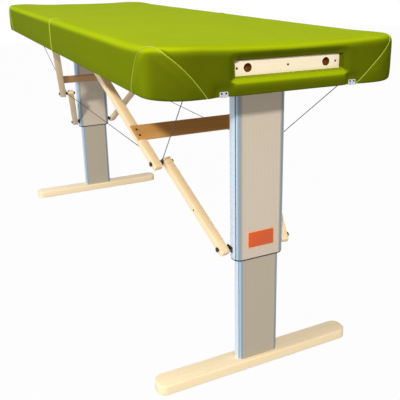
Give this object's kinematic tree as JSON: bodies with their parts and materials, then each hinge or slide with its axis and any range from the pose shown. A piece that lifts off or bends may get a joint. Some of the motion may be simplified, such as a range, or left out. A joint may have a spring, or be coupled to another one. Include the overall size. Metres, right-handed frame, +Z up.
{
  "type": "portable electric massage table",
  "caption": "Padded massage table in two halves that fold like a case, each on an electric telescopic column with a wooden foot beam, braces and cables.",
  "frame": {"origin": "on the floor, under the middle of the table's bounding box", "axes": "+X towards the head end along the table, +Y across it, +Z up"},
  "size_m": [1.95, 0.65, 0.9],
  "materials": {
    "vinyl": "matt lime-green vinyl",
    "foam": "open-cell foam",
    "plywood": "sanded birch plywood",
    "beech": "clear satin lacquer",
    "maple": "pale, clear lacquer",
    "aluminium": "satin anodised",
    "cast_alloy": "as cast",
    "black_steel": "satin black",
    "bright_steel": "zinc plated",
    "steel_cable": "stranded",
    "black_plastic": "fine grain",
    "rubber": "matt",
    "orange_plate": "plain, no text"
  },
  "bodies": {
    "head_half": {"head_cover": "vinyl", "head_foam": "foam", "head_deck": "plywood", "head_rail_left": "plywood", "head_rail_right": "plywood", "head_end_rail": "plywood", "head_centre_rail": "plywood", "head_column_bracket": "black_steel", "head_brace_brackets": "black_steel", "head_end_cables": "steel_cable", "headrest_board": "maple", "headrest_screws": "black_steel", "catch_plates": "bright_steel", "control_box": "black_plastic", "handset_socket": "bright_steel", "head_hinge_leaves": "bright_steel", "hinge_pins": "bright_steel", "knee_cables": "steel_cable"},
    "head_column": {"head_outer_profile": "aluminium", "head_top_cap": "cast_alloy", "head_lift_tube": "bright_steel", "head_guide_bush": "black_plastic", "head_brace_shoes": "black_steel", "label_plate": "orange_plate"},
    "head_lift": {"head_inner_profile": "aluminium", "head_motor": "black_plastic", "head_spindle": "bright_steel", "head_foot_beam": "beech", "head_foot_pads": "rubber"},
    "head_upper_braces": {"head_upper_brace_left": "beech", "head_upper_brace_right": "beech", "head_crossbar": "beech"},
    "head_lower_brace_left": {"head_lower_brace_left": "beech"},
    "head_lower_brace_right": {"head_lower_brace_right": "beech"},
    "foot_half": {"foot_cover": "vinyl", "foot_foam": "foam", "foot_deck": "plywood", "foot_rail_left": "plywood", "foot_rail_right": "plywood", "foot_end_rail": "plywood", "foot_centre_rail": "plywood", "foot_column_bracket": "black_steel", "foot_brace_brackets": "black_steel", "foot_end_cables": "steel_cable", "foot_hinge_leaves": "bright_steel"},
    "foot_column": {"foot_outer_profile": "aluminium", "foot_top_cap": "cast_alloy", "foot_lift_tube": "bright_steel", "foot_guide_bush": "black_plastic", "foot_brace_shoes": "black_steel"},
    "foot_lift": {"foot_inner_profile": "aluminium", "foot_motor": "black_plastic", "foot_spindle": "bright_steel", "foot_foot_beam": "beech", "foot_foot_pads": "rubber"},
    "foot_upper_braces": {"foot_upper_brace_left": "beech", "foot_upper_brace_right": "beech", "foot_crossbar": "beech"},
    "foot_lower_brace_left": {"foot_lower_brace_left": "beech"},
    "foot_lower_brace_right": {"foot_lower_brace_right": "beech"}
  },
  "joints": [
    {"name": "centre_fold", "type": "hinge", "parent": "head_half", "child": "foot_half", "pos_m": [0, 0, 0.767], "axis": [0, -1, 0], "range_deg": [0, 88]},
    {"name": "head_leg_fold", "type": "hinge", "parent": "head_half", "child": "head_column", "pos_m": [0.82663, 0, 0.79037], "axis": [0, 1, 0], "range_deg": [0, 90], "deforming": ["head_end_cables", "knee_cables"]},
    {"name": "head_upper_brace_turn", "type": "hinge", "parent": "head_half", "child": "head_upper_braces", "pos_m": [0.205, 0, 0.8425], "axis": [0, -1, 0], "range_deg": [0, 39.3]},
    {"name": "head_knee_left", "type": "hinge", "parent": "head_upper_braces", "child": "head_lower_brace_left", "pos_m": [0.575, -0.15, 0.54059], "axis": [0, 1, 0], "range_deg": [0, 175]},
    {"name": "head_knee_right", "type": "hinge", "parent": "head_upper_braces", "child": "head_lower_brace_right", "pos_m": [0.575, 0.15, 0.54059], "axis": [0, 1, 0], "range_deg": [0, 175]},
    {"name": "foot_leg_fold", "type": "hinge", "parent": "foot_half", "child": "foot_column", "pos_m": [-0.82663, 0, 0.79037], "axis": [0, -1, 0], "range_deg": [0, 90], "deforming": ["foot_end_cables"]},
    {"name": "foot_upper_brace_turn", "type": "hinge", "parent": "foot_half", "child": "foot_upper_braces", "pos_m": [-0.205, 0, 0.8425], "axis": [0, 1, 0], "range_deg": [0, 39.3]},
    {"name": "foot_knee_left", "type": "hinge", "parent": "foot_upper_braces", "child": "foot_lower_brace_left", "pos_m": [-0.575, -0.15, 0.54059], "axis": [0, -1, 0], "range_deg": [0, 175]},
    {"name": "foot_knee_right", "type": "hinge", "parent": "foot_upper_braces", "child": "foot_lower_brace_right", "pos_m": [-0.575, 0.15, 0.54059], "axis": [0, -1, 0], "range_deg": [0, 175]},
    {"name": "lift", "type": "slide", "parent": "head_column", "child": "head_lift", "axis": [0, 0, -1], "range_m": [-0.28, 0]},
    {"name": "foot_lift_slide", "type": "slide", "parent": "foot_column", "child": "foot_lift", "axis": [0, 0, -1], "range_m": [-0.28, 0]}
  ],
  "couplings": [
    {"joint": "head_upper_brace_turn", "follows": "head_leg_fold", "ratio": 0.4357},
    {"joint": "head_knee_left", "follows": "head_leg_fold", "ratio": 1.944},
    {"joint": "head_knee_right", "follows": "head_leg_fold", "ratio": 1.944},
    {"joint": "foot_upper_brace_turn", "follows": "foot_leg_fold", "ratio": 0.4357},
    {"joint": "foot_knee_left", "follows": "foot_leg_fold", "ratio": 1.944},
    {"joint": "foot_knee_right", "follows": "foot_leg_fold", "ratio": 1.944},
    {"joint": "foot_lift_slide", "follows": "lift", "ratio": 1}
  ]
}
